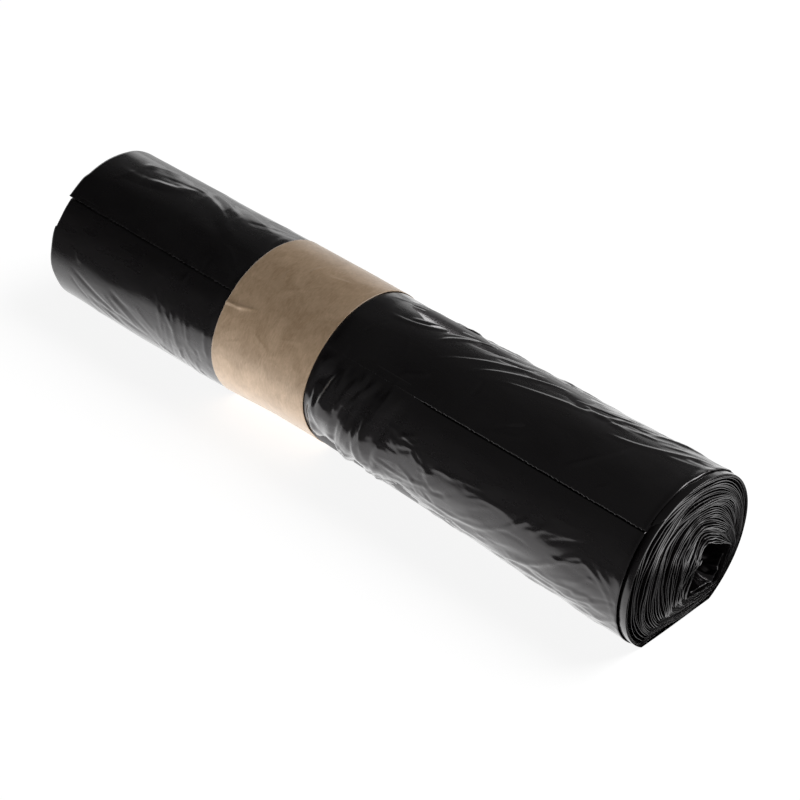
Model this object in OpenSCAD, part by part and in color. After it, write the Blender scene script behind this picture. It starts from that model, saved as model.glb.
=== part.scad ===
// Roll of black film sacks, wound up without a core and held closed by a band of brown paper.
// It lies on its side, as a soft roll comes to rest: its section sags and leans, the underside is
// pressed flat, and the hole in the middle has collapsed towards the back and the floor.
// X runs along the roll with the near end at +X, Z is up, and the origin is on the floor under its middle.

/* [Film web] */
// Width of the folded film, from edge to edge
film_w = 346; // [180:1:600]
// Turns of film from the hole to the outside
turns = 20; // [10:1:24]
// Part of each turn's pitch that is film, the rest being air
film_share = 0.96; // [0.8:0.01:0.97]
// Thickness of the outermost turn with the air trapped under it
wrap_t = 0.6; // [0.5:0.05:1]
// Angle of the free edge, measured from the back (+Y) up over the top
free_edge_at = 132; // [110:1:160]

/* [Edges of the turns] */
// How far the last turns stand off towards the far end
side_shift = 4; // [0:0.5:10]
// Part of a turn in which they move there
shift_turns = 0.2; // [0.1:0.05:2]
// How far the edges of the inner turns lie in and out
edge_wander = 1.8; // [0:0.1:3]

/* [Sagged section] */
// Long axis of the oval section
oval_long = 76.4; // [70:0.2:110]
// Short axis of the oval section
oval_short = 66; // [62:0.2:100]
// Lean of the long axis, from level
oval_lean = 40; // [20:1:60]
// Depth by which the floor flattens the underside
flat_sag = 6.4; // [3:0.1:8]

/* [Core hole] */
// Distance of the hole's middle from the back of the roll
hole_in = 20.2; // [17:0.2:30]
// Height of the hole's middle above the floor
hole_up = 17.2; // [15:0.2:26]
// Distance of the hole's roof from its middle
hole_roof = 9; // [5:0.1:12]
// Distance of the hole's front wall from its middle
hole_front = 9.5; // [5:0.1:12]
// Distance of the hole's base from its middle
hole_base = 10; // [5:0.1:12]
// Distance of the hole's rear wall from its middle
hole_rear = 10; // [5:0.1:12]
// Sharpness of the hole's corners
hole_corner = 8; // [4:1:12]
// Depth by which the hole's front wall is pressed in
hole_dent = 1.5; // [0:0.1:3]

/* [Loose folds] */
// Height of the slanting folds in the outermost turn
fold_h = 1.1; // [0:0.1:2]
// Distance between folds, measured round the roll
fold_pitch = 17; // [12:0.5:30]
// Length along the roll in which a fold drifts by one distance
fold_drift = 95; // [50:1:300]
// Length over which the folds die out towards the band and the ends
fold_fade = 22; // [5:1:40]

/* [Paper band] */
// Width of the paper strip
band_w = 58; // [30:1:100]
// Distance of the strip's middle from the roll's middle, towards the far end
band_off = 32; // [0:1:40]
// Thickness of the paper
band_t = 0.2; // [0.1:0.05:0.4]
// Room between the paper and the film
band_room = 0.1; // [0.05:0.05:0.3]
// Angle at which the glued lap starts, measured as the free edge is
lap_at = 320; // [300:1:350]
// Angle that the lap covers
lap_angle = 34; // [10:1:60]

/* [Fineness] */
// Steps round each inner turn
inner_steps = 36; // [24:2:40]
// Steps round the outermost turn and the paper band
outer_steps = 72; // [48:2:80]
// Length of the outermost turn's facets along the roll
fold_cell = 15; // [12:1:40]

/* [Hidden] */
half_long = oval_long / 2;
half_short = oval_short / 2;
// Half the height and half the width of the oval as it leans
oval_up = norm([half_long * sin(oval_lean), half_short * cos(oval_lean)]);
oval_out = norm([half_long * cos(oval_lean), half_short * sin(oval_lean)]);
centre_z = oval_up - flat_sag;
hole_at = [oval_out - hole_in, hole_up];
// Each wall of the hole: the direction in which it faces away from the middle, and its distance
hole_walls = [[60, hole_roof], [157, hole_front], [263, hole_base], [334, hole_rear]];
// Direction of the dent's middle, and the angle over which it fades on each side
dent_at = 162;
dent_reach = 48;
band_far = -band_off - band_w / 2;
band_near = -band_off + band_w / 2;
// The underside of the film is lifted over the paper, so that both rest on the floor
band_lift = band_t + band_room;
// Length over which the film comes down to the floor beside the paper
lift_run = 3;
// Part of a turn in which the film comes up from under its own free edge
tuck_turn = 0.08;
// Number of turns inside the outermost one over which the edges begin to lie in and out
wander_from = 2;
// Number of waves in a turn of the two that make up the edges' wander
slow_wave = 3 / 7;
quick_wave = 11 / 7;
// Part of a fold's swing that stays flat between crests
fold_flat = 0.3;
// Share of the folds' height that is left at the ends of the roll
fold_at_end = 0.35;
// Part of a turn in which the folds die out on each side of the free edge
fold_edge_turn = 0.08;
// Height below the section's centre, as a share of the radius, where the folds have died out
fold_low = 0.8;

function mix(a, b, t) = a + (b - a) * t;
function ramp(t) = let(c = min(1, max(0, t))) c * c * (3 - 2 * c);

// Distance from the section's centre to the oval, in the direction a
function oval_r(a) = 1 / norm([cos(a - oval_lean) / half_long, sin(a - oval_lean) / half_short]);

// Point of the section in the direction a: the oval, grown by an amount and cut off at a height
function outline(a, grow = 0, floor_z = 0) = let(
    full = oval_r(a) + grow,
    r = sin(a) < 0 ? min(full, (centre_z - floor_z) / -sin(a)) : full
) [r * cos(a), centre_z + r * sin(a)];

// Sum of the terms of a list
function total(terms) = terms * [for (term = terms) 1];

// Distance from the hole's centre to its wall, in the direction b: flat walls with soft corners, and a dent
function hole_wall(b) = let(
    nearness = [for (wall = hole_walls) pow(max(0, cos(b - wall[0])) / wall[1], hole_corner)],
    off_dent = abs((b - dent_at + 540) % 360 - 180)
) pow(total(nearness), -1 / hole_corner) - hole_dent * ramp(1 - off_dent / dent_reach);

// Direction from the section's centre at turn number u, which is whole at the free edge
function turn_angle(u) = free_edge_at + 360 * u;

// Point at turn number u, and at a share of that turn's pitch outside its inner face
function wound(u, share) = let(
    ray = outline(turn_angle(u)) - hole_at,
    wall = hole_wall(atan2(ray[1], ray[0])),
    depth = norm(ray) - wall - wrap_t
) hole_at + ray / norm(ray) * (wall + depth * (u + share) / turns);

// Middle of the web along the roll at turn number u
function web_x(u) = let(
    gone = ramp((u - turns + 1 + shift_turns) / shift_turns),
    loose = ramp((turns - 1 - u) / wander_from),
    slow = 1 - cos(360 * u * slow_wave),
    quick = 1 - cos(360 * u * quick_wave)
) side_shift * (0.5 - gone) - edge_wander * loose * (slow + quick) / 4;

// Height of the slanting folds: smooth crests that die out at the free edge, ends, band and underside
function fold(x, u) = let(
    a = turn_angle(u),
    t = u - turns + 1,
    wave = (1 + sin(360 * (a * half_long * PI / 180 / fold_pitch + x / fold_drift))) / 2,
    off_band = ramp(max(band_far - x, x - band_near) / fold_fade),
    off_end = mix(fold_at_end, 1, ramp((film_w / 2 - abs(x)) / fold_fade)),
    off_edge = ramp((t - tuck_turn) / fold_edge_turn) * ramp((1 - t) / fold_edge_turn),
    off_floor = ramp(2 * (fold_low + sin(a)))
) fold_h * ramp((wave - fold_flat) / (1 - fold_flat)) * off_band * off_end * off_edge * off_floor;

// Height of the film's underside above the floor: it passes over the paper
function lift(x) = band_lift * (1 - ramp(max(band_far - x, x - band_near) / lift_run));

// Point on the outside of the outermost turn
function skin(x, u) = let(
    a = turn_angle(u),
    p = mix(wound(u, film_share), outline(a, 0, lift(x)), ramp((u - turns + 1) / tuck_turn))
) [x, p[0] + cos(a) * fold(x, u), p[1] + sin(a) * fold(x, u)];

// Places along the roll where the outermost turn has points, from the near edge to the far one
near_cells = ceil((film_w / 2 - band_near) / fold_cell);
far_cells = ceil((film_w / 2 + band_far) / fold_cell);
band_cells = 3;
function skin_x(u) = let(near = web_x(u) + film_w / 2, far = web_x(u) - film_w / 2) [
    for (k = [0 : near_cells]) mix(near, band_near + lift_run, k / near_cells),
    for (k = [0 : band_cells]) mix(band_near, band_far, k / band_cells),
    for (k = [0 : far_cells]) mix(band_far - lift_run, far, k / far_cells)
];

// The two points on the inside of the film at turn number u: the far edge, then the near one
function inside(u) = let(p = wound(u, 0), x = web_x(u), w = film_w / 2) [
    [x - w, p[0], p[1]],
    [x + w, p[0], p[1]]
];

// The film cut across at turn number u: two points inside, then two outside from near to far
function inner_ring(u) = let(p = wound(u, film_share), x = web_x(u), w = film_w / 2) concat(inside(u), [
    [x + w, p[0], p[1]],
    [x - w, p[0], p[1]]
]);

// The same in the outermost turn, with a row of points outside
function outer_ring(u) = concat(inside(u), [for (x = skin_x(u)) skin(x, u)]);

function quad(a, b, c, d) = [[a, b, c], [a, c, d]];

// Faces between two rings of n points that start at the point numbers p and q
function tube(p, q, n) = [
    for (k = [0 : n - 1]) let(m = (k + 1) % n) each quad(p + k, q + k, q + m, p + m)
];

// Faces between a ring of four points at p and a ring of n points at q
function flare(p, q, n) = concat(
    quad(p, q, q + 1, p + 1),
    quad(p + 1, q + 1, q + 2, p + 2),
    [for (k = [2 : n - 2]) [p + 2, q + k, q + k + 1]],
    [[p + 2, q + n - 1, p + 3]],
    quad(p + 3, q + n - 1, q, p)
);

// The whole web as one strip: it is carried from the hole outwards, turn upon turn
module bag_roll() {
    inner_n = inner_steps * (turns - 1);
    ring_n = near_cells + band_cells + far_cells + 5;
    inner_rings = [for (s = [0 : inner_n]) inner_ring(s / inner_steps)];
    outer_rings = [for (s = [1 : outer_steps]) outer_ring(turns - 1 + s / outer_steps)];
    first_outer = 4 * (inner_n + 1);
    last_outer = first_outer + ring_n * (outer_steps - 1);
    start_cap = quad(0, 1, 2, 3);
    inner_faces = [for (s = [0 : inner_n - 1]) each tube(4 * s, 4 * s + 4, 4)];
    outer_faces = [
        for (s = [0 : outer_steps - 2])
            each tube(first_outer + s * ring_n, first_outer + (s + 1) * ring_n, ring_n)
    ];
    end_cap = [
        for (k = [1 : ring_n - 1])
            [last_outer + 1, last_outer + (k + 1) % ring_n, last_outer + k]
    ];
    color("#16161a") polyhedron(
        points = [for (ring = concat(inner_rings, outer_rings)) each ring],
        faces = concat(
            start_cap,
            inner_faces,
            flare(first_outer - 4, first_outer, ring_n),
            outer_faces,
            [for (face = end_cap) if (face[2] != face[0] && face[1] != face[0]) face]
        ),
        convexity = 2 * turns
    );
}

// Outline of one face of the paper, a distance outside the film and at a height above the floor
function paper_loop(grow, floor_z) = [
    for (s = [0 : outer_steps - 1]) outline(turn_angle(s / outer_steps), grow, floor_z)
];

// The paper strip: one loop, twice as thick where its end is glued over its start
module paper_band() {
    lap_steps = [for (s = [0 : outer_steps - 1]) let(a = turn_angle(s / outer_steps) - lap_at)
        a % 360 >= 0 && a % 360 <= lap_angle ? 1 : 0];
    outside = [
        for (s = [0 : outer_steps - 1])
            outline(turn_angle(s / outer_steps), band_room + band_t * (1 + lap_steps[s]), 0)
    ];
    color("#a98c6c") translate([band_far, 0, 0]) rotate([90, 0, 90]) linear_extrude(band_w)
        difference() {
            polygon(outside);
            polygon(paper_loop(band_room, band_t));
        }
}

bag_roll();
paper_band();
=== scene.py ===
import math

import bpy
import mathutils
import numpy as np
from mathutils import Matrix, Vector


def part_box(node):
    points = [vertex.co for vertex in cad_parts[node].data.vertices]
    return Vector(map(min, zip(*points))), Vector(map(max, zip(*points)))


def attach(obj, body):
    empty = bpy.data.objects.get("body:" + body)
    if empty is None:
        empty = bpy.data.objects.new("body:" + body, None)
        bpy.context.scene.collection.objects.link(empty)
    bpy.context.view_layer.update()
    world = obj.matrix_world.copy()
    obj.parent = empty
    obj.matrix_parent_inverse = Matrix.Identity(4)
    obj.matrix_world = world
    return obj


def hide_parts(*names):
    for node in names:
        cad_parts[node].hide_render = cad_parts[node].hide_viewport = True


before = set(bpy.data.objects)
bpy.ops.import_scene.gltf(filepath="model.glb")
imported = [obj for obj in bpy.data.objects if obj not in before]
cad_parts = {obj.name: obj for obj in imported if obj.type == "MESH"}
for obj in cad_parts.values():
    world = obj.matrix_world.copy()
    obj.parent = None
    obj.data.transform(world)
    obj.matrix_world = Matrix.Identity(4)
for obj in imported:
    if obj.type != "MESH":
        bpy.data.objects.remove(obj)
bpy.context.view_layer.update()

# The inner turns
# One long web of black polyethylene sacks, folded to the roll's length and wound up without a core. It is
# one strip from the hole outwards, in two halves that meet under the paper band, held by its own last turn.
MM = 0.001
ROLL_LOW, ROLL_HIGH = (np.array(corner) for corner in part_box("bag_roll"))
BAND_LOW, BAND_HIGH = (np.array(corner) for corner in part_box("paper_band"))
MIDDLE = (BAND_LOW[0] + BAND_HIGH[0]) / 2
SIDE_SHIFT = 4 * MM
# Lying down, the soft section sags into a leaning oval, and the floor presses it flat
HALF_LONG, HALF_SHORT, LEAN = 38.2 * MM, 33 * MM, math.radians(40)
SAG = 6.4 * MM
OVAL_UP = math.hypot(HALF_LONG * math.sin(LEAN), HALF_SHORT * math.cos(LEAN))
OVAL_OUT = math.hypot(HALF_LONG * math.cos(LEAN), HALF_SHORT * math.sin(LEAN))
CENTRE_Z = OVAL_UP - SAG
FREE_EDGE = math.radians(132)
# The hole has collapsed towards the back. Its walls stand square to a direction (degrees), at a distance (mm)
HOLE_Y, HOLE_Z = OVAL_OUT - 19.9 * MM, 17 * MM
HOLE_WALLS = ((60, 9.2), (157, 9.5), (263, 10.8), (334, 10.6))
HOLE_CORNER = 10
DENT_DEPTH, DENT_AT, DENT_REACH = 2 * MM, math.radians(162), math.radians(48)
# Places along the roll, and how deep the paper band draws it in there at the foot and on top (all in mm)
WAIST_X = (-120, -90, -61, -32, -3, 6, 30, 52, 66, 90, 120, 150)
FOOT_DEPTH = (0.1, 0.6, 1.5, 3.2, 3.6, 3.4, 3.1, 3.0, 2.4, 1.7, 0.8, 0)
TOP_DEPTH = (0, 0, 0, 0, 0.3, 0.8, 1.0, 0.9, 0.8, 0.8, 0.7, 0.5)
# Where round the roll these depths hold (degrees): start, rise, end and fall, as the function between takes
FOOT_SIDES, TOP_SIDES = (168, 48, 300, 50), (5, 35, 110, 45)
TURNS, STATIONS = 42, 200
TURN_THICKNESS, MOST_FILLED = 0.42 * MM, 0.66
UNDER_WRAP = 0.8 * MM
LEAST_PULLED_IN, LOWEST = 3.4 * MM, 0.3 * MM
RIM, BEVEL = 3 * MM, 0.05 * MM


def ramp(t):
    """Smooth step: 0 below 0, 1 above 1, and 3t^2 - 2t^3 between."""
    t = np.clip(t, 0, 1)
    return t * t * (3 - 2 * t)


def between(place, start, rise, end, fall):
    """1 from a start to an end and 0 beyond, with a smooth step up over a rise and one down over a fall."""
    return ramp((place - start) / rise) * ramp((end - place) / fall)


def off_direction(angle, direction):
    """Size of the turn between an angle and a direction, from 0 to pi."""
    return np.abs((angle - direction + math.pi) % (2 * math.pi) - math.pi)


def outline(angle, grow=0.0, floor_z=0.0):
    """Point (y, z) of the section: an ellipse that leans by LEAN, grown by a distance, cut flat at a floor."""
    radius = 1 / np.hypot(np.cos(angle - LEAN) / HALF_LONG, np.sin(angle - LEAN) / HALF_SHORT) + grow
    down = np.maximum(-np.sin(angle), 1e-6)
    radius = np.minimum(radius, (CENTRE_Z - floor_z) / down)
    return radius * np.cos(angle), CENTRE_Z + radius * np.sin(angle)


def waist(x, angle):
    """Depth by which the paper band draws the roll in: most at the front of the foot, under the band and
    beside it, and a little on top. Straight lines between given depths, times smooth steps round the roll."""
    degrees = np.degrees(angle) % 360
    foot = np.interp(x, np.multiply(WAIST_X, MM), np.multiply(FOOT_DEPTH, MM))
    top = np.interp(x, np.multiply(WAIST_X, MM), np.multiply(TOP_DEPTH, MM))
    return foot * between(degrees, *FOOT_SIDES) + top * between(degrees, *TOP_SIDES)


def hole_wall(angle):
    """Distance from the hole's centre to its wall: flat walls, each at a distance in a direction, joined with
    soft corners by the sum of the powers of cos(angle - direction) / distance, less a smooth dent."""
    total = 0
    for degrees, distance in HOLE_WALLS:
        square_to = np.maximum(np.cos(angle - math.radians(degrees)), 0)
        total = total + (square_to / (distance * MM)) ** HOLE_CORNER
    return total ** (-1 / HOLE_CORNER) - DENT_DEPTH * ramp(1 - off_direction(angle, DENT_AT) / DENT_REACH)


def wound(angle, share):
    """Point (y, z) on the ray from the hole to the outline at an angle, at a share of the way from the hole
    to just under the wrap, and the length of that way."""
    y, z = outline(angle)
    ray_y, ray_z = y - HOLE_Y, z - HOLE_Z
    length = np.hypot(ray_y, ray_z)
    wall = hole_wall(np.arctan2(ray_z, ray_y))
    depth = length - wall - UNDER_WRAP
    out = (wall + depth * share) / length
    return HOLE_Y + ray_y * out, HOLE_Z + ray_z * out, depth


def turn_noise(u, steps, seed):
    """Smooth random curve from -1 to 1 along the web, with a number of steps to a turn."""
    knots = np.random.default_rng(seed).uniform(-1, 1, int(TURNS * steps) + 3)
    place = u * steps
    index = place.astype(int)
    t = ramp(place - index)
    return knots[index] * (1 - t) + knots[index + 1] * t


def ring_noise(u, steps, cell, seed):
    """Smooth random field from -1 to 1 over the turns: a number of steps round the roll, after which it
    closes on itself, and cells of so many turns outwards, so that neighbouring turns move together."""
    values = np.random.default_rng(seed).uniform(-1, 1, (steps, int(TURNS / cell) + 4))
    place, layer = u * steps, u / cell
    i, j = place.astype(int), layer.astype(int)
    p, q = ramp(place - i), ramp(layer - j)
    low = values[i % steps, j] * (1 - p) + values[(i + 1) % steps, j] * p
    high = values[i % steps, j + 1] * (1 - p) + values[(i + 1) % steps, j + 1] * p
    return low * (1 - q) + high * q


def new_piece(name, points, faces, material, stands_for):
    """A smooth mesh object at the origin from an array of points and a list of faces."""
    mesh = bpy.data.meshes.new(name)
    mesh.from_pydata(points.reshape(-1, 3).tolist(), [], faces)
    mesh.polygons.foreach_set("use_smooth", np.ones(len(faces), dtype=bool))
    mesh.materials.append(material)
    mesh.update()
    piece = bpy.data.objects.new(name, mesh)
    bpy.context.scene.collection.objects.link(piece)
    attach(piece, "root")
    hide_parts(stands_for)


def closed_strip(points):
    """Faces of a strip with a closed profile, from its points (ring, side): quads between successive rings,
    and a cap at each end."""
    rings, sides = points.shape[:2]
    ring = np.arange(rings - 1)[:, None] * sides
    side = np.arange(sides)[None, :]
    after = (side + 1) % sides
    quads = np.stack([ring + side, ring + after, ring + sides + after, ring + sides + side], -1)
    last = (rings - 1) * sides
    return quads.reshape(-1, 4).tolist() + [list(range(sides))[::-1], list(range(last, last + sides))]


def linear(colour):
    """Linear RGBA of an sRGB hex colour."""
    channels = [int(colour[i:i + 2], 16) / 255 for i in (1, 3, 5)]
    return [c / 12.92 if c <= 0.04045 else ((c + 0.055) / 1.055) ** 2.4 for c in channels] + [1.0]


def add_node(tree, kind, inputs=None, **settings):
    """Adds a shader node, sets its properties and its inputs, where an input may be a value or a socket."""
    made = tree.nodes.new(kind)
    for name, value in settings.items():
        setattr(made, name, value)
    for name, value in (inputs or {}).items():
        if isinstance(value, bpy.types.NodeSocket):
            tree.links.new(value, made.inputs[name])
        else:
            made.inputs[name].default_value = value
    return made


def new_material(name):
    """An empty node material with its output node."""
    material = bpy.data.materials.new(name)
    material.use_nodes = True
    material.node_tree.nodes.clear()
    return material, material.node_tree, add_node(material.node_tree, "ShaderNodeOutputMaterial")


# Blown low-density polyethylene, coloured with carbon black. Its skin is glossy and mirrors a bright floor,
# and a wider, hazy highlight lies under it. Fine ripples are drawn out along the web
film, tree, output = new_material("blown_black_polyethylene")
RIPPLE_LONG, RIPPLE_ROUND, RIPPLE_HEIGHT = 14 * MM, 5 * MM, 0.5 * MM
place = add_node(tree, "ShaderNodeTexCoord").outputs["Object"]
stretched = add_node(tree, "ShaderNodeMapping", {
    "Vector": place, "Scale": (1 / RIPPLE_LONG, 1 / RIPPLE_ROUND, 1 / RIPPLE_ROUND)}).outputs["Vector"]
ripple = add_node(tree, "ShaderNodeTexNoise", {"Vector": stretched, "Scale": 1, "Detail": 3}).outputs["Fac"]
bump = add_node(tree, "ShaderNodeBump", {"Height": ripple, "Strength": 0.2, "Distance": RIPPLE_HEIGHT})
haze = add_node(tree, "ShaderNodeMapRange", {"Value": ripple, "To Min": 0.22, "To Max": 0.34})
surface = add_node(tree, "ShaderNodeBsdfPrincipled", {
    "Base Color": linear("#080607"), "Roughness": haze.outputs["Result"], "IOR": 1.52,
    "Specular Tint": linear("#FFF6FA"), "Coat Weight": 1.0, "Coat Roughness": 0.08, "Coat IOR": 1.6,
    "Normal": bump.outputs["Normal"], "Coat Normal": bump.outputs["Normal"]})
tree.links.new(surface.outputs["BSDF"], output.inputs["Surface"])

turn = np.arange((TURNS - 1) * STATIONS + 1) / STATIONS
angle = FREE_EDGE + 2 * math.pi * turn
rounds_left = TURNS - 1 - turn


def layer(turn):
    """Share of the way from the hole to the wrap at a turn number, with turns crowded together in groups."""
    crowd = ring_noise(turn, 8, 4.5, 3) + 0.13 * ring_noise(turn, 23, 1.8, 4)
    still = between(turn, 0, 3, TURNS - 1, 3)
    return (turn + crowd * still) / TURNS


def side_of(degrees, reach):
    """1 in a direction round the roll, smoothly down to 0 at a reach on both sides, both in degrees."""
    off = off_direction(angle, math.radians(degrees))
    return ramp(1.5 * (1 - off / math.radians(reach)))


inner_y, inner_z, depth = wound(angle, layer(turn))
next_y, next_z, depth = wound(angle, layer(turn + 1))
spacing = np.hypot(next_y - inner_y, next_z - inner_z)

# Thickness of a turn: thin in front, thick above and below, and never more than fills its place
in_front, behind = side_of(190, 63), side_of(20, 50)
above, below = side_of(128, 44), side_of(245, 44)
thick = TURN_THICKNESS * (1 + 0.3 * turn_noise(turn, 3.1, 12)) * (1 - 0.85 * in_front)
thick = thick * (1 + 1.3 * above) * (1 + below) * (1 - 0.5 * behind)
thick = np.minimum(thick, (MOST_FILLED + 0.2 * above - 0.1 * ramp(1 - turn / 14)) * spacing)

# How far a cut edge stands out of the end, where the last turn steps back by the side shift
gone = ramp(1.15 - rounds_left / 0.035)
loose = ramp((rounds_left - 0.6) / 2)
stand = 1.3 * ring_noise(turn, 5, 5.5, 5) + 0.9 * ring_noise(turn, 8, 2.3, 6)
stand = MM * (stand + 0.35 * turn_noise(turn, 2.3, 9) + 0.14 * turn_noise(turn, 37, 7))
near_x = ROLL_HIGH[0] - SIDE_SHIFT * gone + loose * (stand - 1.2 * MM) + 0.12 * MM * turn_noise(turn, 9, 4)
far_x = ROLL_LOW[0] + SIDE_SHIFT * (1 - gone) + loose * (0.6 * stand + 1.0 * MM)

# How far an edge curls up, how far the last few flare out towards the wrap, and how the edge's face leans
calm = 1.15 - 0.75 * turn / TURNS
curl = spacing * calm * (0.26 * turn_noise(turn, 13, 8) + 0.14 * turn_noise(turn, 47, 18)) * loose
below_wrap = UNDER_WRAP + (1 + rounds_left) * spacing
steps_below = np.where(rounds_left < 1, rounds_left ** 3, rounds_left)
close_below = 0.12 * MM + thick + 0.55 * steps_below * spacing + waist(ROLL_HIGH[0], angle)
flare = np.maximum(below_wrap - close_below, 0) * ramp(1.3 * (1 - rounds_left / 6)) * (1 - gone)
uneven = 0.2 * ring_noise(turn, 31, 1.3, 10) + 0.15 * turn_noise(turn, 19, 11)
tilt = (0.5 + 0.35 * np.sin(angle) - 0.45 * in_front + uneven) * (1 - above)
tilt = np.clip(tilt + (0.74 + 0.4 * uneven) * above, 0, 1)
ray = np.stack([inner_y - HOLE_Y, inner_z - HOLE_Z])
ray /= np.hypot(*ray)


def strip_corner(x, out):
    """Points of one corner of the strip all along the web: x along the roll, out along the ray."""
    x = x + 0 * out
    return np.stack([x, inner_y + ray[0] * out, np.maximum(inner_z + ray[1] * out, LOWEST)], -1)


rim = curl + flare
flush = np.zeros_like(thick)
pulled_in = -layer(turn) * np.maximum(0.15 * depth, LEAST_PULLED_IN)
run = RIM + 5 * MM * ramp(1 - rounds_left / 3)
straight = 4 * BEVEL + 4.3 * MM * ramp(1 - rounds_left / 2)
inside, outside = 0.6 * thick * tilt, 1.6 * thick * (1 - tilt)
near_corners = [
    strip_corner(MIDDLE, pulled_in), strip_corner(near_x - run, flush),
    strip_corner(near_x - inside - straight, rim), strip_corner(near_x - inside - 3 * BEVEL, rim),
    strip_corner(near_x - inside - BEVEL, rim), strip_corner(near_x - inside, rim + 0.12 * thick),
    strip_corner(near_x - outside, rim + 0.88 * thick), strip_corner(near_x - outside - BEVEL, rim + thick),
    strip_corner(near_x - outside - 3 * BEVEL, rim + thick),
    strip_corner(near_x - outside - straight, rim + thick),
    strip_corner(near_x - run, thick), strip_corner(MIDDLE, pulled_in + thick),
]
far_corners = [
    strip_corner(far_x + BEVEL, rim), strip_corner(far_x + run, flush), strip_corner(MIDDLE, pulled_in),
    strip_corner(MIDDLE, pulled_in + thick), strip_corner(far_x + run, thick),
    strip_corner(far_x + BEVEL, rim + thick), strip_corner(far_x, rim + thick / 2),
]
for name, corners in (("inner_turns_near", near_corners), ("inner_turns_far", far_corners)):
    points = np.stack(corners, 1)
    new_piece(name, points, closed_strip(points), film, "bag_roll")

# The loose inner end
# The start of the web, which was gripped by the winding spindle and let go. It lies crumpled along the back
# and the base of the hole, where its facets catch some light from outside.
LINING_LONG, LINING_CELL, LINING_THICKNESS = 34 * MM, 0.5 * MM, 0.15 * MM
LINING_FROM, LINING_TO, LINING_STATIONS = math.radians(226), math.radians(352), 72
HOLE_RADIUS, FUNNEL, FUNNEL_LONG = 10 * MM, 3 * MM, 14 * MM
# Crumples: height, length along the roll and length round it in mm, and seed
LINING_CRUMPLES = ((1, 6, 3.6, 61), (0.35, 2.6, 1.8, 64))


def sheet_noise(x, s, cell_x, cell_s, seed):
    """Smooth random surface from -1 to 1: random values on a grid of cells, joined by smooth steps."""
    values = np.random.default_rng(seed).uniform(-1, 1, (601, 601))
    u, v = x / cell_x + 290, s / cell_s
    i, j = u.astype(int), v.astype(int)
    p, q = ramp(u - i), ramp(v - j)
    low = values[i, j] * (1 - p) + values[i + 1, j] * p
    high = values[i, j + 1] * (1 - p) + values[i + 1, j + 1] * p
    return low * (1 - q) + high * q


def edge_noise(along, cell, seed):
    """Smooth random curve from -1 to 1 along an edge, with cells of a length."""
    return sheet_noise(along, along * 0, cell, 1, seed)


def facets(x, s, cell_x, cell_s, seed):
    """Random surface from -1 to 1 made of flat triangles that meet in sharp creases, as stiff film crumples:
    random values on a slanting grid, with planes between them. The grid is warped by smooth noise."""
    values = np.random.default_rng(seed).uniform(-1, 1, (601, 601))
    u = x / cell_x + 230 + 0.35 * sheet_noise(x, s, 1.7 * cell_x, 1.7 * cell_s, seed + 1)
    v = s / cell_s + 20 + 0.35 * sheet_noise(x, s, 1.7 * cell_x, 1.7 * cell_s, seed + 2)
    u = u + 0.5 * v
    i, j = u.astype(int), v.astype(int)
    p, q = u - i, v - j
    low = values[i, j] + p * (values[i + 1, j] - values[i, j]) + q * (values[i, j + 1] - values[i, j])
    corner = values[i + 1, j + 1]
    high = corner + (1 - p) * (values[i, j + 1] - corner) + (1 - q) * (values[i + 1, j] - corner)
    return np.where(p + q < 1, low, high)


def layers(pattern, x, s, sizes):
    """Sum of a random pattern in several sizes: height * pattern, with the length and width of cells in mm."""
    return sum(height * pattern(x, s, long * MM, wide * MM, seed) for height, long, wide, seed in sizes)


down_hole = np.linspace(0, LINING_LONG, int(LINING_LONG / LINING_CELL))
x, a = np.meshgrid(down_hole, np.linspace(LINING_FROM, LINING_TO, LINING_STATIONS))
s = a * HOLE_RADIUS
towards_end = between(a, LINING_FROM, 0.3, LINING_TO, 0.6)
crumple = np.maximum(0.8 + layers(facets, x, s, LINING_CRUMPLES), 0)
pressed_in = (0.25 + 1.3 * crumple * towards_end) * MM + FUNNEL * ramp(x / FUNNEL_LONG) * towards_end
ragged = (1.6 + 1.1 * sheet_noise(x * 0, s, 1, 8 * MM, 67) + 1.2 * (1 - towards_end)) * MM
x = ROLL_HIGH[0] - ragged - x
both_faces = []
for depth_in in (pressed_in, pressed_in - LINING_THICKNESS):
    reach = hole_wall(a) - depth_in
    both_faces.append(np.stack([x, HOLE_Y + reach * np.cos(a), HOLE_Z + reach * np.sin(a)], -1))
points = np.concatenate([both_faces[1], both_faces[0][:, ::-1]], 1)
new_piece("loose_inner_end", points, closed_strip(points), film, "bag_roll")

# The outermost turn
# The last turn of the same web, drawn tight under the paper band and crumpled beside it. Slanting folds from
# winding run along its top and its front flank. It is made in two halves that meet under the band.
CELL_ALONG, CELL_ROUND = 0.85 * MM, 0.62 * MM
GIRTH_RADIUS = 35.6 * MM
GIRTH = 2 * math.pi * GIRTH_RADIUS
FREE_STEP, EDGE_THICKNESS, GROOVE, GROOVE_WIDTH = 0.30 * MM, 0.2 * MM, 0.6 * MM, 1 * MM
OVER_BAND, LIFT_RUN = 0.3 * MM, 3 * MM
RIM_INSET, EDGE_RUN = 4 * MM, 9 * MM
BOWED, NEARBY = 0.1, 20 * MM
# Broad waves and crumples: height, length along the roll and length round it in mm, and seed
WAVES = ((0.30, 34, 17, 11), (0.14, 15, 8, 12))
BAND_CRUMPLES = ((1.9, 7, 20, 71), (0.665, 3.2, 12, 74))
FLANK_CRUMPLES = ((0.30, 11, 6, 76), (0.14, 4.5, 2.8, 79))
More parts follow.
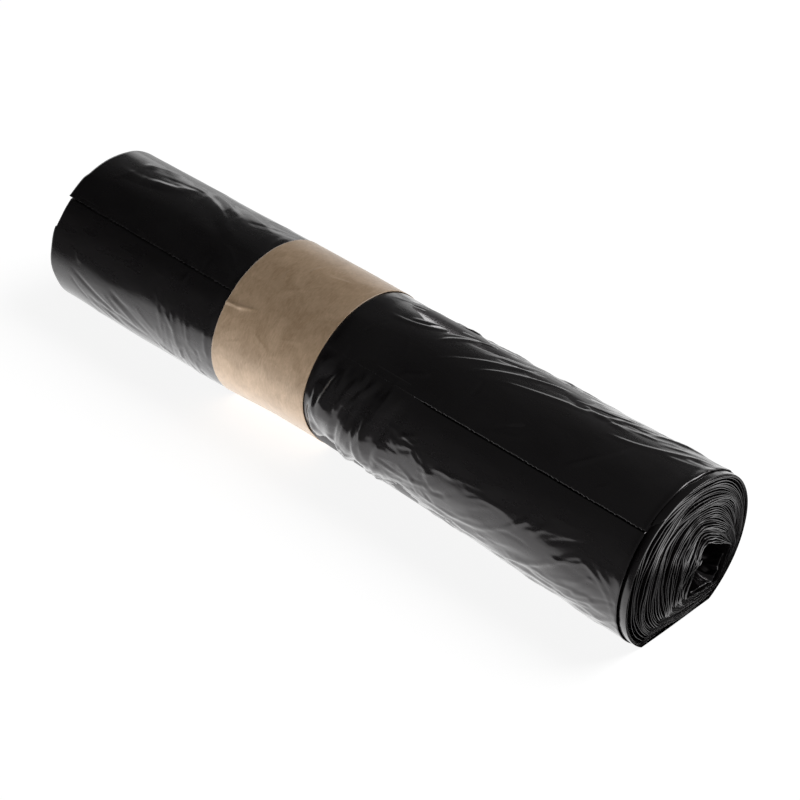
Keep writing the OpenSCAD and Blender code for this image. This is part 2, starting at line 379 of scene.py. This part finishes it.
# The film is crumpled in front beside the band: start, rise, end and fall along the roll and round it
CRUMPLED_ALONG = (BAND_HIGH[0], 5 * MM, 56 * MM, 26 * MM)
CRUMPLED_ROUND = (122, 34, 236, 20)
CRUMPLED_OUT, BULGE, BULGE_AT, BULGE_REACH = 0.665 * MM, 1.2 * MM, 188, 15
LOW_FLANK, LOW_FLANK_RISE, LOW_FLANK_X, LOW_FLANK_RUN = 184, 16, -70 * MM, 20 * MM
SWELL, SWELL_CELL, SWELL_RUN, SWELL_REACH = 0.35 * MM, 9 * MM, 7 * MM, 34 * MM
DEEPEST, DEEPER_CRUMPLED = 0.6 * MM, 1.3 * MM
# Folds on top of the near part, which mirror the backdrop: from (x mm, degrees) to (x mm, degrees), bow
# and height in mm
TOP_FOLDS = (
    (18, 80, 35, 66, 0, 0.30), (8, 84, 38, 66, 4, 0.35), (37, 89, 60, 55, -3, 0.40),
    (44, 101, 83, 64, -1, 0.42), (60, 97, 101, 62, -2, 0.42), (72, 93, 118, 74, -1, 0.36),
    (106, 69, 136, 73, 1, 0.30), (126, 85, 169, 53, 5, 0.42), (116, 76, 138, 55, 0, 0.30),
    (124, 123, 143, 81, 2, 0.16), (84, 129, 105, 118, 0, 0.14), (36, 123, 50, 112, 0, 0.16),
    (38, 147, 38, 122, 0, 0.22),
)
# Wider folds on top of the far part
FAR_FOLDS = (
    (-168, 88, -120, 70, 5, 0.42), (-160, 76, -138, 62, -2, 0.38), (-146, 84, -122, 78, 2, 0.26),
    (-134, 66, -86, 92, -3, 0.46), (-124, 60, -90, 78, -2, 0.38), (-112, 70, -78, 96, 2, 0.30),
    (-104, 56, -70, 74, 0, 0.34),
)
# Folds of the front flank, which break up the mirrored floor, given in the same way
FLANK_FOLDS = (
    (0, 150, 7, 191, 0, 0.40), (32, 160, 37, 197, 0, 0.50), (27, 168, 33, 201, 0, 0.35),
    (9, 190, 31, 203, 0, 0.35), (39, 158, 52, 159, 0, 0.25), (49, 163, 61, 154, 0, 0.25),
    (38, 184, 79, 174, 6, 0.32), (59, 193, 124, 163, 10, 0.40), (67, 204, 105, 205, 0, 0.30),
    (116, 175, 124, 163, 0, 0.30), (125, 174, 133, 159, 0, 0.25), (104, 209, 148, 170, 3, 0.40),
    (129, 199, 145, 193, 0, 0.22), (148, 169, 171, 204, -6, 0.38), (158, 168, 172, 191, -2, 0.32),
    (165, 162, 172, 175, 0, 0.22), (116, 208, 163, 205, 0, 0.34), (-158, 165, -153, 175, 0, 0.25),
    (-162, 179, -104, 206, 3, -0.45), (-134, 180, -102, 205, -1, -0.35), (-93, 172, -85, 186, 0, 0.32),
    (-89, 167, -86, 184, 0, 0.28), (-79, 169, -77, 187, 0, 0.32), (-67, 165, -64, 192, 0, 0.28),
    (-89, 147, -88, 136, 0, 0.18), (-101, 206, -91, 212, 0, 0.32), (14, 132, 19, 176, 2, 0.42),
    (22, 128, 24, 170, -2, 0.36),
)
# Widths in mm of the steep and the gentle side of each list's folds
LISTED = ((TOP_FOLDS, 1.1, 2.2), (FAR_FOLDS, 2.4, 4.5), (FLANK_FOLDS, 1.7, 1.7))
# Small folds scattered at random: how many, in which stretch (x mm) and directions (degrees), length in mm,
# slant and its spread in degrees, height and width in mm, and seed
SCATTERED = (
    (46, (0, 165), (42, 80), (18, 46), (-24, 6), (0.12, 0.34), (0.9, 1.6), 21),
    (84, (-4, 165), (44, 72), (16, 42), (-20, 2), (0.10, 0.22), (0.6, 1.0), 30),
    (20, (-172, -66), (42, 84), (14, 36), (8, 30), (0.06, 0.20), (1.4, 3.0), 22),
    (34, (32, 76), (156, 198), (5, 14), (20, 30), (0.12, 0.32), (0.7, 1.4), 33),
    (44, (-2, 168), (196, 224), (8, 30), (-10, 12), (0.14, 0.34), (0.8, 1.6), 31),
    (26, (-4, 166), (36, 54), (12, 34), (-20, 6), (0.3, 0.66), (0.9, 1.7), 32),
    (34, (46, 168), (165, 212), (12, 34), (-14, 14), (0.08, 0.26), (0.9, 1.8), 24),
    (26, (-104, -60), (160, 208), (6, 16), (78, 22), (0.10, 0.32), (0.8, 1.6), 25),
    (16, (-170, -104), (180, 210), (14, 34), (24, 8), (0.08, 0.24), (0.9, 1.6), 26),
    (90, (-170, 165), (225, 400), (12, 40), (-20, 30), (0.10, 0.30), (1.0, 2.0), 27),
    (30, (-170, 165), (0, 42), (12, 40), (-20, 16), (0.10, 0.30), (1.0, 2.0), 28),
    (40, (-170, 165), (85, 160), (5, 18), (-20, 50), (0.03, 0.10), (0.8, 1.6), 29),
)


def beside_band(x):
    """Distance beyond the nearer edge of the paper band, below 0 under it."""
    return np.maximum(BAND_LOW[0] - x, x - BAND_HIGH[0])


def lift(x):
    """Height of the film above the floor: it passes over the paper band."""
    return OVER_BAND * (1 - ramp(beside_band(x) / LIFT_RUN))


def one_fold(x, s, start, end, bow, height, rise, fall):
    """Relief of one fold: a roof over a bowed line, height * (1 - distance / width), with a steep side
    towards smaller angles and a gentle one, tapered to nothing over a quarter of its length at both ends."""
    along = np.subtract(end, start)
    length = math.hypot(*along)
    along = along / length
    t = ((x - start[0]) * along[0] + (s - start[1]) * along[1]) / length
    off = (s - start[1]) * along[0] - (x - start[0]) * along[1] - bow * 4 * t * (1 - t)
    roof = np.maximum(0, 1 - np.abs(off) / np.where(off < 0, rise, fall))
    return height * roof * between(t, 0, 0.25, 1, 0.25)


def listed_folds(x, s, folds, rise, fall):
    """Sum of the folds of a list, whose angles are turned into lengths round the roll."""
    relief = np.zeros_like(x)
    for x0, a0, x1, a1, bow, height in folds:
        start = (x0 * MM, math.radians(a0) * GIRTH_RADIUS)
        end = (x1 * MM, math.radians(a1) * GIRTH_RADIUS)
        relief += one_fold(x, s, start, end, bow * MM, height * MM, rise * MM, fall * MM)
    return relief


def scattered_folds(x, s):
    """Sum of the small folds, each with a random place, length, slant, height and width. About one in three
    is a hollow. Folds that can't reach the grid are left out."""
    relief = np.zeros_like(x)
    for count, stretch, directions, lengths, slant, heights, widths, seed in SCATTERED:
        random = np.random.default_rng(seed)
        for _ in range(count):
            x0 = random.uniform(*stretch) * MM
            s0 = math.radians(random.uniform(*directions)) * GIRTH_RADIUS
            length, turned = random.uniform(*lengths) * MM, math.radians(random.normal(*slant))
            height = random.uniform(*heights) * MM * random.choice([1, 1, -1])
            width = random.uniform(*widths) * MM
            bow = random.uniform(-BOWED, BOWED) * length
            if x.min() - NEARBY < x0 < x.max() + NEARBY:
                end = (x0 + length * math.cos(turned), s0 + length * math.sin(turned))
                relief += one_fold(x, s, (x0, s0), end, bow, height, width, width * 1.5)
    return relief


def film_relief(x, angle, t):
    """Height of the outermost turn over the plain section: broad waves, listed and scattered folds, crumples
    and a swell beside the band. Hollows go as deep as depth * (exp(height / depth) - 1), which levels off,
    and all dies out under the band, on the floor and towards the free edge."""
    s = angle % (2 * math.pi) * GIRTH_RADIUS
    degrees = np.degrees(s / GIRTH_RADIUS)
    relief = MM * layers(sheet_noise, x, s, WAVES) + scattered_folds(x, s)
    for folds, rise, fall in LISTED:
        relief += listed_folds(x, s, folds, rise, fall)
    near_band = between(x, *CRUMPLED_ALONG) * between(degrees, *CRUMPLED_ROUND)
    bulge = BULGE * ramp(1.5 - np.abs(degrees - BULGE_AT) / BULGE_REACH)
    relief += near_band * (CRUMPLED_OUT + MM * layers(facets, x, s, BAND_CRUMPLES) + bulge)
    low_flank = ramp((degrees - LOW_FLANK) / LOW_FLANK_RISE) * ramp((x - LOW_FLANK_X) / LOW_FLANK_RUN)
    relief += low_flank * MM * layers(facets, x, s, FLANK_CRUMPLES)
    beside = beside_band(x)
    swell = (0.5 + 0.5 * sheet_noise(x * 0, s, 1, SWELL_CELL, 13)) * ramp(-1.6 * np.cos(angle))
    relief += SWELL * swell * ramp(beside / SWELL_RUN) * ramp(1.2 - beside / SWELL_REACH)
    deepest = DEEPEST + DEEPER_CRUMPLED * near_band
    relief = np.where(relief < 0, deepest * (np.exp(np.minimum(relief, 0) / deepest) - 1), relief)
    keep_edge = 0.15 + 0.85 * between(t * GIRTH, 0, 9 * MM, GIRTH, 8 * MM)
    near_end = 0.4 + 0.6 * ramp((ROLL_HIGH[0] - SIDE_SHIFT - x) / (14 * MM))
    return relief * ramp(beside / (4 * MM)) * keep_edge * near_end * ramp(2.3 + 2.5 * np.sin(angle))


def half_wrap(name, far, near, far_is_end, near_is_end):
    """One half of the outermost turn, from x = far to x = near: a closed strip with a fine grid outside, and
    a thin rim where it ends in a real edge. The turn comes up from under its own free edge."""
    columns = np.linspace(near, far, int((near - far) / CELL_ALONG))
    # Rows lie close together under the free edge, where the film steps down
    way = np.concatenate([np.arange(-4, -0.6, 0.6), np.arange(-0.6, 1.6, 0.15), np.arange(1.6, 6, 0.4)]) * MM
    way = np.append(way, np.arange(6 * MM, GIRTH, CELL_ROUND))
    x, t = np.meshgrid(columns, np.append(way / GIRTH, 1.0))
    a = FREE_EDGE + 2 * math.pi * t
    # The end edges wander. The near one swings out at the back of the top, the far one at the free edge
    swing = ramp((np.sin(a) - 0.55) / 0.3) * ramp(6 * np.cos(a))
    if near_is_end:
        wander = 0.3 * edge_noise(t, 0.09, 31) + 0.8 * swing
        x = x + wander * MM * ramp(1 - (near - x) / EDGE_RUN)
    if far_is_end:
        wander = 0.5 * edge_noise(t, 0.04, 32) - 0.8 * ramp((t - 0.93) / 0.02) + 0.4 + 0.7 * (t < 0.072)
        x = x + wander * MM * ramp(1 - (x - far) / EDGE_RUN)
    # A groove runs under the free edge, and the film beyond it lies a step lower, both less near the band
    way = t * GIRTH
    groove = GROOVE * np.clip(1 - (way - 0.1 * MM) / GROOVE_WIDTH, 0, 1) * (way < 6 * MM)
    groove = groove * np.where(x > MIDDLE, ramp((x - 44 * MM) / (16 * MM)), 0.6)
    step = FREE_STEP * np.where(x > MIDDLE, ramp((x - 40 * MM) / (20 * MM)), 1)
    grow = film_relief(x, a, t) - step * (1 - ramp(way / (9 * MM))) - groove - waist(x, a)
    if near_is_end:
        grow = grow + (0.14 + 0.25 * swing) * MM * ramp(1 - (near - x) / RIM)
    out_y, out_z = outline(a, grow, lift(x))
    outer = np.stack([x, out_y, np.maximum(out_z, lift(x))], -1)
    sunk = UNDER_WRAP - 0.02 * MM - 0.55 * MM * ramp((t[:, :1] - 0.85) / 0.1)
    under = []
    for column, inset, is_end in ((-1, RIM_INSET, far_is_end), (0, -RIM_INSET, near_is_end)):
        edge = x[:, [column]]
        rows = [(edge, sunk)]
        if is_end:
            rows = [(edge, EDGE_THICKNESS - grow[:, [column]]), (edge + inset, sunk)]
        if column == 0:
            rows.reverse()
        for row_x, row_depth in rows:
            drawn_in = 0 if is_end else waist(row_x, a[:, :1])
            y, z = outline(a[:, :1], -row_depth - drawn_in, EDGE_THICKNESS)
            under.append(np.stack([row_x, y, z], -1))
    points = np.concatenate(under + [outer], 1)
    new_piece(name, points, closed_strip(points), film, "bag_roll")


half_wrap("outer_wrap_near", MIDDLE, ROLL_HIGH[0] - SIDE_SHIFT, False, True)
half_wrap("outer_wrap_far", ROLL_LOW[0], MIDDLE, True, False)

# The torn edge
# The web was torn off along a line of perforations, which leaves a row of small teeth in the film. The last
# few millimetres lie a little loose, so that the teeth catch the light and a dark line runs under them.
TOOTH_PITCH, TOOTH, TOOTH_CELL = 2.6 * MM, 0.35 * MM, 0.35 * MM
EDGE_WIDTH = 3.2 * MM
NEAR_START, SINK_RUN = 44 * MM, 16 * MM
for name, far, near, tooth_lift, sunk_at_start, edge_thickness in (
        ("torn_edge_near", NEAR_START, ROLL_HIGH[0] - SIDE_SHIFT - 1 * MM, 0.02 * MM, 0.4 * MM, 0.08 * MM),
        ("torn_edge_far", ROLL_LOW[0], BAND_LOW[0] - 1 * MM, 0.2 * MM, 0, 0.2 * MM)):
    columns = np.linspace(far, near, int((near - far) / TOOTH_CELL))
    tooth = np.abs((columns / TOOTH_PITCH) % 1 - 0.5) * 2
    torn = TOOTH * (0.5 + 0.5 * edge_noise(columns, 3.7 * MM, 43)) * ramp((tooth - 0.5) * 4)
    torn = torn + 0.15 * MM * edge_noise(columns, 0.8 * MM, 41)
    lifted = 1.2 * tooth_lift * (1 + edge_noise(columns, 7 * MM, 42)) + tooth_lift * ramp((tooth - 0.8) * 5)
    x, part = np.meshgrid(columns, np.array([0, 0.4, 0.8, 1.0]), indexing="ij")
    way = -EDGE_WIDTH + part * (EDGE_WIDTH + torn[:, None])
    a = FREE_EDGE + way / GIRTH_RADIUS
    height = (0.13 * part - 0.04) * MM + lifted[:, None] * part ** 3
    height = height - sunk_at_start * (1 - ramp((x - far) / SINK_RUN))
    top = film_relief(x, a + 2 * math.pi, 1 + way / GIRTH) - waist(x, a) + height
    y0, z0 = outline(a, top - edge_thickness)
    y1, z1 = outline(a, top)
    low, high = np.stack([x, y0, z0], -1), np.stack([x, y1, z1], -1)
    points = np.concatenate([low, high[:, ::-1]], 1)[::-1]
    new_piece(name, points, closed_strip(points), film, "bag_roll")

# The paper band
# A strip of unbleached kraft paper, wrapped once round the roll and glued to itself underneath at the back.
# It holds the film closed. It lies flat, with soft waves and a few handling creases.
PAPER_CELL, PAPER_STATIONS = 0.6 * MM, 400
PAPER_THICKNESS, PAPER_ROOM = 0.2 * MM, 0.1 * MM
LAP_FROM, LAP_TO = math.radians(320), math.radians(354)
SEAM_RUN = 0.15
# Waves are given as the film's waves are, and creases as its folds
PAPER_WAVES = ((0.10, 19, 14, 51), (0.05, 7, 6, 52))
PAPER_CREASES = (
    (-63, 141, -50, 139, 0, 0.75), (-54, 140, -42, 134, 0, 0.60), (-44, 96, -42, 107, 0, 0.22),
    (-36, 91, -35, 79, 0, 0.24), (-21, 128, -17, 116, 0, 0.20), (-11, 117, -3, 112, 0, 0.22),
    (-28, 85, -16, 79, 0, 0.16), (-40, 150, -28, 158, 0, 0.14), (-50, 112, -38, 118, 0, 0.12),
    (-26, 146, -12, 138, 0, 0.12), (-54, 168, -44, 160, 0, 0.12),
)
# Kraft pulp, machine made and not bleached: long fibres lie mostly along the strip, in light and dark brown,
# with clouds and darker specks. It is glazed on a hot cylinder, so that it shines where one looks along it
kraft, tree, output = new_material("unbleached_kraft_paper")
CLOUD, FIBRE, FIBRE_WIDTH, SPECK = 12 * MM, 2.5 * MM, 0.8 * MM, 0.7 * MM
CLOUDINESS = 1.6
place = add_node(tree, "ShaderNodeTexCoord").outputs["Object"]
cloud = add_node(tree, "ShaderNodeTexNoise", {
    "Vector": place, "Scale": 1 / CLOUD, "Detail": 6, "Roughness": 0.62, "Distortion": 1.2})
fibre_space = add_node(tree, "ShaderNodeMapping", {
    "Vector": place, "Scale": (1 / FIBRE_WIDTH, 1 / FIBRE, 1 / FIBRE)}).outputs["Vector"]
fibres = add_node(tree, "ShaderNodeTexNoise", {
    "Vector": fibre_space, "Scale": 1, "Detail": 4, "Distortion": 0.8})
speck = add_node(tree, "ShaderNodeTexNoise", {"Vector": place, "Scale": 1 / SPECK, "Detail": 1})
pulp = add_node(tree, "ShaderNodeMath", {
    0: cloud.outputs["Fac"], 1: CLOUDINESS, 2: fibres.outputs["Fac"]}, operation="MULTIPLY_ADD")
tone = add_node(tree, "ShaderNodeMapRange", {
    "Value": pulp.outputs["Value"], "From Min": 0.9, "From Max": 1.7})
brown = add_node(tree, "ShaderNodeMix", {"Factor": tone.outputs["Result"]}, data_type="RGBA")
brown.inputs["A"].default_value = linear("#A88B6B")
brown.inputs["B"].default_value = linear("#CCAF90")
dark = add_node(tree, "ShaderNodeMapRange", {
    "Value": speck.outputs["Fac"], "From Min": 0.68, "From Max": 0.8, "To Max": 0.35})
spotted = add_node(tree, "ShaderNodeMix", {
    "Factor": dark.outputs["Result"], "A": brown.outputs["Result"]}, data_type="RGBA")
spotted.inputs["B"].default_value = linear("#8C6B4C")
grain = add_node(tree, "ShaderNodeBump", {
    "Height": fibres.outputs["Fac"], "Strength": 0.25, "Distance": 0.2 * MM})
surface = add_node(tree, "ShaderNodeBsdfPrincipled", {
    "Base Color": spotted.outputs["Result"], "Roughness": 0.5, "IOR": 1.5, "Sheen Weight": 0.3,
    "Sheen Roughness": 0.4, "Coat Weight": 0.65, "Coat Roughness": 0.3, "Normal": grain.outputs["Normal"]})
tree.links.new(surface.outputs["BSDF"], output.inputs["Surface"])

# Its section is the film's with a little room, soft waves that die out on the floor and where the sweep
# closes, and a second thickness where the strip laps
columns = np.linspace(BAND_HIGH[0], BAND_LOW[0], int((BAND_HIGH[0] - BAND_LOW[0]) / PAPER_CELL))
x, a = np.meshgrid(columns, np.linspace(FREE_EDGE, FREE_EDGE + 2 * math.pi, PAPER_STATIONS))
s = a % (2 * math.pi) * GIRTH_RADIUS
wave = MM * (0.10 + layers(sheet_noise, x, s, PAPER_WAVES)) + listed_folds(x, s, PAPER_CREASES, 0.7, 1.5)
seam = between(a - FREE_EDGE, 0, SEAM_RUN, 2 * math.pi, SEAM_RUN)
wave = np.maximum(wave, 0) * seam * ramp(1.6 + 2 * np.sin(a)) - waist(x, a)
lap = (a % (2 * math.pi) > LAP_FROM) & (a % (2 * math.pi) < LAP_TO)
y0, z0 = outline(a, PAPER_ROOM + wave, PAPER_THICKNESS)
y1, z1 = outline(a, PAPER_ROOM + PAPER_THICKNESS * (1 + lap) + wave)
points = np.concatenate([np.stack([x, y0, z0], -1)[:, ::-1], np.stack([x, y1, z1], -1)], 1)
new_piece("paper_wrapper", points, closed_strip(points)[:-2], kraft, "paper_band")

# The camera
# It stands in front of the near end and above it, as the photograph's did, with a long lens. Its place is
# given by the direction from the roll, the distance, and how far its aim lies to the right and up.
AZIMUTH, ELEVATION = math.radians(45.37), math.radians(35.44)
DISTANCE, AIM_RIGHT, AIM_UP = 0.9648, 13.28 * MM, 12.71 * MM
LENS, SENSOR, SEES_TO = 100, 36, 20
back = np.array([math.sin(AZIMUTH) * math.cos(ELEVATION), -math.cos(AZIMUTH) * math.cos(ELEVATION),
                 math.sin(ELEVATION)])
right = np.array([math.cos(AZIMUTH), math.sin(AZIMUTH), 0])
up = np.cross(back, right)
camera = bpy.data.objects.new("camera", bpy.data.cameras.new("camera"))
camera.data.lens = LENS
camera.data.sensor_width = SENSOR
camera.data.clip_end = SEES_TO
camera.location = right * AIM_RIGHT + up * AIM_UP + back * DISTANCE
camera.rotation_euler = mathutils.Matrix(np.stack([right, up, back], 1).tolist()).to_euler()
bpy.context.scene.collection.objects.link(camera)
bpy.context.scene.camera = camera
bpy.context.scene.view_settings.view_transform = "Standard"

# The white sheet
# The roll lies on a white sheet, which glows as a light table does and takes the roll's shadow as well.
# The glossy film mirrors it: dimmer towards the far end, and dark beyond its edge, which runs slantwise.
HALF_FLOOR = 6.0
SHEET_EDGE, SHEET_FULL = -0.25, -0.12
SLANT_FULL, SLANT_NONE, SLANT = -0.26, -0.12, -0.12
DIM_AT, BRIGHT_AT, DIM = -0.26, -0.09, 0.45
OFF_ROLL, AT_ROLL, OFF_LEVEL = -0.075, -0.04, 0.72
SEEN_GLOW, CAST_GLOW, ROOM = 0.89, 2.0, 0.065
floor_mesh = bpy.data.meshes.new("floor")
floor_mesh.from_pydata([(-HALF_FLOOR, -HALF_FLOOR, 0), (HALF_FLOOR, -HALF_FLOOR, 0),
                        (HALF_FLOOR, HALF_FLOOR, 0), (-HALF_FLOOR, HALF_FLOOR, 0)], [], [(0, 1, 2, 3)])
floor = bpy.data.objects.new("floor", floor_mesh)
bpy.context.scene.collection.objects.link(floor)
sheet, tree, output = new_material("white_sheet")
rays = add_node(tree, "ShaderNodeLightPath")
place = add_node(tree, "ShaderNodeTexCoord").outputs["Object"]
axes = add_node(tree, "ShaderNodeSeparateXYZ", {"Vector": place})
slant = add_node(tree, "ShaderNodeMapRange", {
    "Value": axes.outputs["X"], "From Min": SLANT_FULL, "From Max": SLANT_NONE, "To Min": SLANT, "To Max": 0})
from_edge = add_node(tree, "ShaderNodeMath", {
    0: axes.outputs["Y"], 1: slant.outputs["Result"]}, operation="ADD")
on_sheet = add_node(tree, "ShaderNodeMapRange", {
    "Value": from_edge.outputs["Value"], "From Min": SHEET_EDGE, "From Max": SHEET_FULL,
    "To Min": ROOM, "To Max": 1.0})
near_end = add_node(tree, "ShaderNodeMapRange", {
    "Value": axes.outputs["X"], "From Min": DIM_AT, "From Max": BRIGHT_AT, "To Min": DIM, "To Max": 1.0})
near_roll = add_node(tree, "ShaderNodeMapRange", {
    "Value": axes.outputs["Y"], "From Min": OFF_ROLL, "From Max": AT_ROLL, "To Min": OFF_LEVEL, "To Max": 1.0})
dimmed = add_node(tree, "ShaderNodeMath", {
    0: on_sheet.outputs["Result"], 1: near_end.outputs["Result"]}, operation="MULTIPLY")
dimmed = add_node(tree, "ShaderNodeMath", {
    0: dimmed.outputs["Value"], 1: near_roll.outputs["Result"]}, operation="MULTIPLY")
mirrored = add_node(tree, "ShaderNodeEmission", {"Strength": dimmed.outputs["Value"]})
level = add_node(tree, "ShaderNodeMapRange", {
    "Value": rays.outputs["Is Camera Ray"], "To Min": CAST_GLOW, "To Max": SEEN_GLOW})
glow = add_node(tree, "ShaderNodeEmission", {"Strength": level.outputs["Result"]})
matt = add_node(tree, "ShaderNodeBsdfDiffuse", {"Color": linear("#949494")})
seen = add_node(tree, "ShaderNodeAddShader", {0: glow.outputs["Emission"], 1: matt.outputs["BSDF"]})
surface = add_node(tree, "ShaderNodeMixShader", {
    "Fac": rays.outputs["Is Glossy Ray"], 1: seen.outputs["Shader"], 2: mirrored.outputs["Emission"]})
tree.links.new(surface.outputs["Shader"], output.inputs["Surface"])
floor_mesh.materials.append(sheet)

# The room
# It is dim, darkest beyond the roll's far end, with a white backdrop low behind the table. The camera sees
# white in every direction. One square softbox hangs high behind the roll.
BACKDROP_TOP, ROOM_FROM = 0.10, 0.36
BACKDROP_START, BACKDROP_FULL = -0.1, 0.3
FAR_WAY, NEAR_WAY, FAR_ROOM, NEAR_ROOM = -0.75, -0.45, 0.015, 0.085
SOFTBOX_PLACE, SOFTBOX_AIM = (0.45, 0.9, 1.2), (0, 0, 0.03)
SOFTBOX_SIZE, SOFTBOX_WATTS = 0.9, 14
world = bpy.data.worlds.new("studio")
bpy.context.scene.world = world
world.use_nodes = True
tree = world.node_tree
tree.nodes.clear()
rays = add_node(tree, "ShaderNodeLightPath")
direction = add_node(tree, "ShaderNodeTexCoord").outputs["Generated"]
axes = add_node(tree, "ShaderNodeSeparateXYZ", {"Vector": direction})
height = add_node(tree, "ShaderNodeMapRange", {
    "Value": axes.outputs["Z"], "From Min": BACKDROP_TOP, "From Max": ROOM_FROM,
    "To Min": 1.0, "To Max": ROOM})
behind = add_node(tree, "ShaderNodeMapRange", {
    "Value": axes.outputs["Y"], "From Min": BACKDROP_START, "From Max": BACKDROP_FULL})
backdrop = add_node(tree, "ShaderNodeMath", {
    0: height.outputs["Result"], 1: behind.outputs["Result"]}, operation="MULTIPLY")
room = add_node(tree, "ShaderNodeMapRange", {
    "Value": axes.outputs["X"], "From Min": FAR_WAY, "From Max": NEAR_WAY,
    "To Min": FAR_ROOM, "To Max": NEAR_ROOM})
level = add_node(tree, "ShaderNodeMath", {
    0: backdrop.outputs["Value"], 1: room.outputs["Result"]}, operation="MAXIMUM")
strength = add_node(tree, "ShaderNodeMath", {
    0: level.outputs["Value"], 1: rays.outputs["Is Camera Ray"]}, operation="MAXIMUM")
sky = add_node(tree, "ShaderNodeBackground", {"Strength": strength.outputs["Value"]})
add_node(tree, "ShaderNodeOutputWorld", {"Surface": sky.outputs["Background"]})
softbox = bpy.data.objects.new("softbox", bpy.data.lights.new("softbox", "AREA"))
softbox.data.size = SOFTBOX_SIZE
softbox.data.energy = SOFTBOX_WATTS
softbox.location = SOFTBOX_PLACE
way = mathutils.Vector(SOFTBOX_AIM) - mathutils.Vector(SOFTBOX_PLACE)
softbox.rotation_euler = way.to_track_quat("-Z", "Y").to_euler()
bpy.context.scene.collection.objects.link(softbox)
